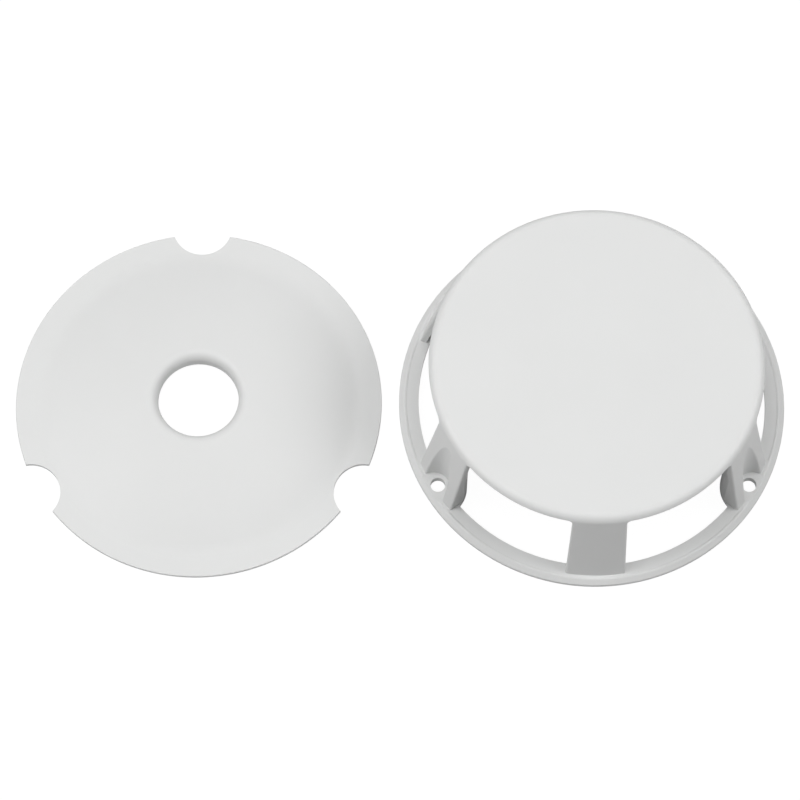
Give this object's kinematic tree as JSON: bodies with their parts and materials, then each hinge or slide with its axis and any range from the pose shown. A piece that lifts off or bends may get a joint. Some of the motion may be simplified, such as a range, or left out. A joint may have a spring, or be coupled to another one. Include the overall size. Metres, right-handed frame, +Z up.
{
  "type": "vent cap",
  "caption": "Low round vent cap with side windows and a screw-down flange, beside its notched, domed base disc with a central pipe hole.",
  "frame": {"origin": "centre of the pair's outline, on the surface that both pieces stand on", "axes": "+X from the base disc to the vent cap, +Z up, away from the mounting surface"},
  "size_m": [0.3032, 0.152, 0.045],
  "materials": {
    "base_disc": "satin moulded white plastic with a very fine grain",
    "vent_cap": "satin moulded white plastic with a very fine grain"
  },
  "bodies": {
    "disc": {"base_disc": "base_disc"},
    "cap": {"vent_cap": "vent_cap"}
  },
  "joints": [
    {"name": "cap_lift", "type": "slide", "parent": "disc", "child": "cap", "axis": [-0.9326, 0, 0.361], "range_m": [0, 0.16621]}
  ]
}
